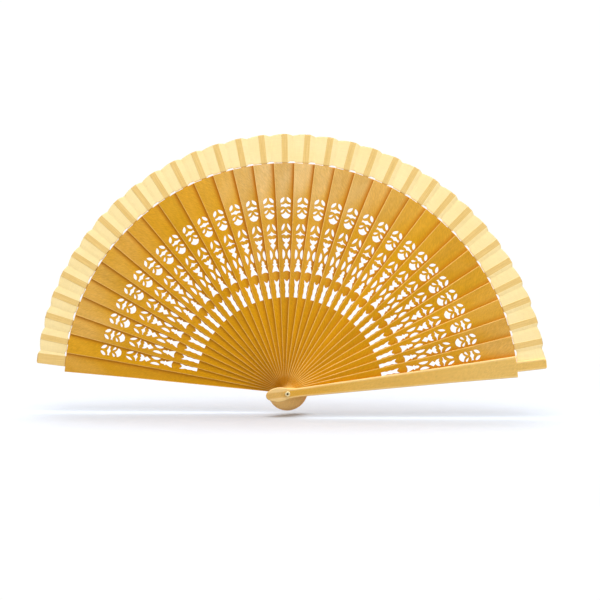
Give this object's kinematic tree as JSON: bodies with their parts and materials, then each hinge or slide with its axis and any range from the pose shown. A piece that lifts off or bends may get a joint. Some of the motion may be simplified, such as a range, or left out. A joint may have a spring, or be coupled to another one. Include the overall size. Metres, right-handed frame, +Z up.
{
  "type": "folding hand fan",
  "caption": "Open folding hand fan: pierced wooden sticks between two plain guards, turning on a brass rivet and carrying a pleated fabric leaf.",
  "frame": {"origin": "bottom centre of the bounding box of the open fan; the rivet axis passes 15.8 mm above it", "axes": "-Y towards the front (show) side along the rivet axis, +Z up through the middle of the open fan, +X to the right seen from the front"},
  "size_m": [0.4217, 0.0276, 0.2272],
  "materials": {
    "stick_wood": "satin varnish",
    "guard_wood": "satin varnish",
    "leaf_fabric": "matte plain weave",
    "brass": "polished"
  },
  "bodies": {
    "rear_guard_body": {"rear_guard": "guard_wood", "rivet_pin": "brass", "rivet_washer_front": "brass", "rivet_washer_rear": "brass", "leaf": "leaf_fabric"},
    "front_guard_body": {"front_guard": "guard_wood"},
    "stick_01_body": {"stick_01": "stick_wood"},
    "stick_02_body": {"stick_02": "stick_wood"},
    "stick_03_body": {"stick_03": "stick_wood"},
    "stick_04_body": {"stick_04": "stick_wood"},
    "stick_05_body": {"stick_05": "stick_wood"},
    "stick_06_body": {"stick_06": "stick_wood"},
    "stick_07_body": {"stick_07": "stick_wood"},
    "stick_08_body": {"stick_08": "stick_wood"},
    "stick_09_body": {"stick_09": "stick_wood"},
    "stick_10_body": {"stick_10": "stick_wood"},
    "stick_11_body": {"stick_11": "stick_wood"},
    "stick_12_body": {"stick_12": "stick_wood"},
    "stick_13_body": {"stick_13": "stick_wood"},
    "stick_14_body": {"stick_14": "stick_wood"},
    "stick_15_body": {"stick_15": "stick_wood"},
    "stick_16_body": {"stick_16": "stick_wood"},
    "stick_17_body": {"stick_17": "stick_wood"},
    "stick_18_body": {"stick_18": "stick_wood"},
    "stick_19_body": {"stick_19": "stick_wood"},
    "stick_20_body": {"stick_20": "stick_wood"},
    "stick_21_body": {"stick_21": "stick_wood"},
    "stick_22_body": {"stick_22": "stick_wood"},
    "stick_23_body": {"stick_23": "stick_wood"},
    "stick_24_body": {"stick_24": "stick_wood"},
    "stick_25_body": {"stick_25": "stick_wood"},
    "stick_26_body": {"stick_26": "stick_wood"},
    "stick_27_body": {"stick_27": "stick_wood"},
    "stick_28_body": {"stick_28": "stick_wood"},
    "stick_29_body": {"stick_29": "stick_wood"},
    "stick_30_body": {"stick_30": "stick_wood"},
    "stick_31_body": {"stick_31": "stick_wood"},
    "stick_32_body": {"stick_32": "stick_wood"}
  },
  "joints": [
    {"name": "fan_fold", "type": "hinge", "parent": "rear_guard_body", "child": "front_guard_body", "pos_m": [0, 0, 0.0158], "axis": [0, -1, 0], "range_deg": [0, 166], "deforming": ["leaf"]},
    {"name": "stick_01_fold", "type": "hinge", "parent": "rear_guard_body", "child": "stick_01_body", "pos_m": [0, 0, 0.0158], "axis": [0, -1, 0], "range_deg": [0, 5.05]},
    {"name": "stick_02_fold", "type": "hinge", "parent": "rear_guard_body", "child": "stick_02_body", "pos_m": [0, 0, 0.0158], "axis": [0, -1, 0], "range_deg": [0, 10.1]},
    {"name": "stick_03_fold", "type": "hinge", "parent": "rear_guard_body", "child": "stick_03_body", "pos_m": [0, 0, 0.0158], "axis": [0, -1, 0], "range_deg": [0, 15.16]},
    {"name": "stick_04_fold", "type": "hinge", "parent": "rear_guard_body", "child": "stick_04_body", "pos_m": [0, 0, 0.0158], "axis": [0, -1, 0], "range_deg": [0, 20.25]},
    {"name": "stick_05_fold", "type": "hinge", "parent": "rear_guard_body", "child": "stick_05_body", "pos_m": [0, 0, 0.0158], "axis": [0, -1, 0], "range_deg": [0, 25.35]},
    {"name": "stick_06_fold", "type": "hinge", "parent": "rear_guard_body", "child": "stick_06_body", "pos_m": [0, 0, 0.0158], "axis": [0, -1, 0], "range_deg": [0, 30.47]},
    {"name": "stick_07_fold", "type": "hinge", "parent": "rear_guard_body", "child": "stick_07_body", "pos_m": [0, 0, 0.0158], "axis": [0, -1, 0], "range_deg": [0, 35.62]},
    {"name": "stick_08_fold", "type": "hinge", "parent": "rear_guard_body", "child": "stick_08_body", "pos_m": [0, 0, 0.0158], "axis": [0, -1, 0], "range_deg": [0, 40.77]},
    {"name": "stick_09_fold", "type": "hinge", "parent": "rear_guard_body", "child": "stick_09_body", "pos_m": [0, 0, 0.0158], "axis": [0, -1, 0], "range_deg": [0, 45.95]},
    {"name": "stick_10_fold", "type": "hinge", "parent": "rear_guard_body", "child": "stick_10_body", "pos_m": [0, 0, 0.0158], "axis": [0, -1, 0], "range_deg": [0, 51.14]},
    {"name": "stick_11_fold", "type": "hinge", "parent": "rear_guard_body", "child": "stick_11_body", "pos_m": [0, 0, 0.0158], "axis": [0, -1, 0], "range_deg": [0, 56.33]},
    {"name": "stick_12_fold", "type": "hinge", "parent": "rear_guard_body", "child": "stick_12_body", "pos_m": [0, 0, 0.0158], "axis": [0, -1, 0], "range_deg": [0, 61.53]},
    {"name": "stick_13_fold", "type": "hinge", "parent": "rear_guard_body", "child": "stick_13_body", "pos_m": [0, 0, 0.0158], "axis": [0, -1, 0], "range_deg": [0, 66.74]},
    {"name": "stick_14_fold", "type": "hinge", "parent": "rear_guard_body", "child": "stick_14_body", "pos_m": [0, 0, 0.0158], "axis": [0, -1, 0], "range_deg": [0, 71.94]},
    {"name": "stick_15_fold", "type": "hinge", "parent": "rear_guard_body", "child": "stick_15_body", "pos_m": [0, 0, 0.0158], "axis": [0, -1, 0], "range_deg": [0, 77.12]},
    {"name": "stick_16_fold", "type": "hinge", "parent": "rear_guard_body", "child": "stick_16_body", "pos_m": [0, 0, 0.0158], "axis": [0, -1, 0], "range_deg": [0, 82.3]},
    {"name": "stick_17_fold", "type": "hinge", "parent": "rear_guard_body", "child": "stick_17_body", "pos_m": [0, 0, 0.0158], "axis": [0, -1, 0], "range_deg": [0, 87.45]},
    {"name": "stick_18_fold", "type": "hinge", "parent": "rear_guard_body", "child": "stick_18_body", "pos_m": [0, 0, 0.0158], "axis": [0, -1, 0], "range_deg": [0, 92.57]},
    {"name": "stick_19_fold", "type": "hinge", "parent": "rear_guard_body", "child": "stick_19_body", "pos_m": [0, 0, 0.0158], "axis": [0, -1, 0], "range_deg": [0, 97.66]},
    {"name": "stick_20_fold", "type": "hinge", "parent": "rear_guard_body", "child": "stick_20_body", "pos_m": [0, 0, 0.0158], "axis": [0, -1, 0], "range_deg": [0, 102.72]},
    {"name": "stick_21_fold", "type": "hinge", "parent": "rear_guard_body", "child": "stick_21_body", "pos_m": [0, 0, 0.0158], "axis": [0, -1, 0], "range_deg": [0, 107.73]},
    {"name": "stick_22_fold", "type": "hinge", "parent": "rear_guard_body", "child": "stick_22_body", "pos_m": [0, 0, 0.0158], "axis": [0, -1, 0], "range_deg": [0, 112.7]},
    {"name": "stick_23_fold", "type": "hinge", "parent": "rear_guard_body", "child": "stick_23_body", "pos_m": [0, 0, 0.0158], "axis": [0, -1, 0], "range_deg": [0, 117.63]},
    {"name": "stick_24_fold", "type": "hinge", "parent": "rear_guard_body", "child": "stick_24_body", "pos_m": [0, 0, 0.0158], "axis": [0, -1, 0], "range_deg": [0, 122.53]},
    {"name": "stick_25_fold", "type": "hinge", "parent": "rear_guard_body", "child": "stick_25_body", "pos_m": [0, 0, 0.0158], "axis": [0, -1, 0], "range_deg": [0, 127.38]},
    {"name": "stick_26_fold", "type": "hinge", "parent": "rear_guard_body", "child": "stick_26_body", "pos_m": [0, 0, 0.0158], "axis": [0, -1, 0], "range_deg": [0, 132.2]},
    {"name": "stick_27_fold", "type": "hinge", "parent": "rear_guard_body", "child": "stick_27_body", "pos_m": [0, 0, 0.0158], "axis": [0, -1, 0], "range_deg": [0, 137]},
    {"name": "stick_28_fold", "type": "hinge", "parent": "rear_guard_body", "child": "stick_28_body", "pos_m": [0, 0, 0.0158], "axis": [0, -1, 0], "range_deg": [0, 141.79]},
    {"name": "stick_29_fold", "type": "hinge", "parent": "rear_guard_body", "child": "stick_29_body", "pos_m": [0, 0, 0.0158], "axis": [0, -1, 0], "range_deg": [0, 146.57]},
    {"name": "stick_30_fold", "type": "hinge", "parent": "rear_guard_body", "child": "stick_30_body", "pos_m": [0, 0, 0.0158], "axis": [0, -1, 0], "range_deg": [0, 151.37]},
    {"name": "stick_31_fold", "type": "hinge", "parent": "rear_guard_body", "child": "stick_31_body", "pos_m": [0, 0, 0.0158], "axis": [0, -1, 0], "range_deg": [0, 156.19]},
    {"name": "stick_32_fold", "type": "hinge", "parent": "rear_guard_body", "child": "stick_32_body", "pos_m": [0, 0, 0.0158], "axis": [0, -1, 0], "range_deg": [0, 161.06]}
  ],
  "couplings": [
    {"joint": "stick_01_fold", "follows": "fan_fold", "ratio": 0.030334},
    {"joint": "stick_02_fold", "follows": "fan_fold", "ratio": 0.060754},
    {"joint": "stick_03_fold", "follows": "fan_fold", "ratio": 0.091275},
    {"joint": "stick_04_fold", "follows": "fan_fold", "ratio": 0.12191},
    {"joint": "stick_05_fold", "follows": "fan_fold", "ratio": 0.15265},
    {"joint": "stick_06_fold", "follows": "fan_fold", "ratio": 0.18351},
    {"joint": "stick_07_fold", "follows": "fan_fold", "ratio": 0.21449},
    {"joint": "stick_08_fold", "follows": "fan_fold", "ratio": 0.24557},
    {"joint": "stick_09_fold", "follows": "fan_fold", "ratio": 0.27674},
    {"joint": "stick_10_fold", "follows": "fan_fold", "ratio": 0.30799},
    {"joint": "stick_11_fold", "follows": "fan_fold", "ratio": 0.33929},
    {"joint": "stick_12_fold", "follows": "fan_fold", "ratio": 0.37063},
    {"joint": "stick_13_fold", "follows": "fan_fold", "ratio": 0.40197},
    {"joint": "stick_14_fold", "follows": "fan_fold", "ratio": 0.43329},
    {"joint": "stick_15_fold", "follows": "fan_fold", "ratio": 0.46454},
    {"joint": "stick_16_fold", "follows": "fan_fold", "ratio": 0.4957},
    {"joint": "stick_17_fold", "follows": "fan_fold", "ratio": 0.52673},
    {"joint": "stick_18_fold", "follows": "fan_fold", "ratio": 0.55759},
    {"joint": "stick_19_fold", "follows": "fan_fold", "ratio": 0.58826},
    {"joint": "stick_20_fold", "follows": "fan_fold", "ratio": 0.61871},
    {"joint": "stick_21_fold", "follows": "fan_fold", "ratio": 0.64892},
    {"joint": "stick_22_fold", "follows": "fan_fold", "ratio": 0.67888},
    {"joint": "stick_23_fold", "follows": "fan_fold", "ratio": 0.70858},
    {"joint": "stick_24_fold", "follows": "fan_fold", "ratio": 0.73804},
    {"joint": "stick_25_fold", "follows": "fan_fold", "ratio": 0.76729},
    {"joint": "stick_26_fold", "follows": "fan_fold", "ratio": 0.79634},
    {"joint": "stick_27_fold", "follows": "fan_fold", "ratio": 0.82526},
    {"joint": "stick_28_fold", "follows": "fan_fold", "ratio": 0.8541},
    {"joint": "stick_29_fold", "follows": "fan_fold", "ratio": 0.88292},
    {"joint": "stick_30_fold", "follows": "fan_fold", "ratio": 0.91181},
    {"joint": "stick_31_fold", "follows": "fan_fold", "ratio": 0.94086},
    {"joint": "stick_32_fold", "follows": "fan_fold", "ratio": 0.97019}
  ]
}
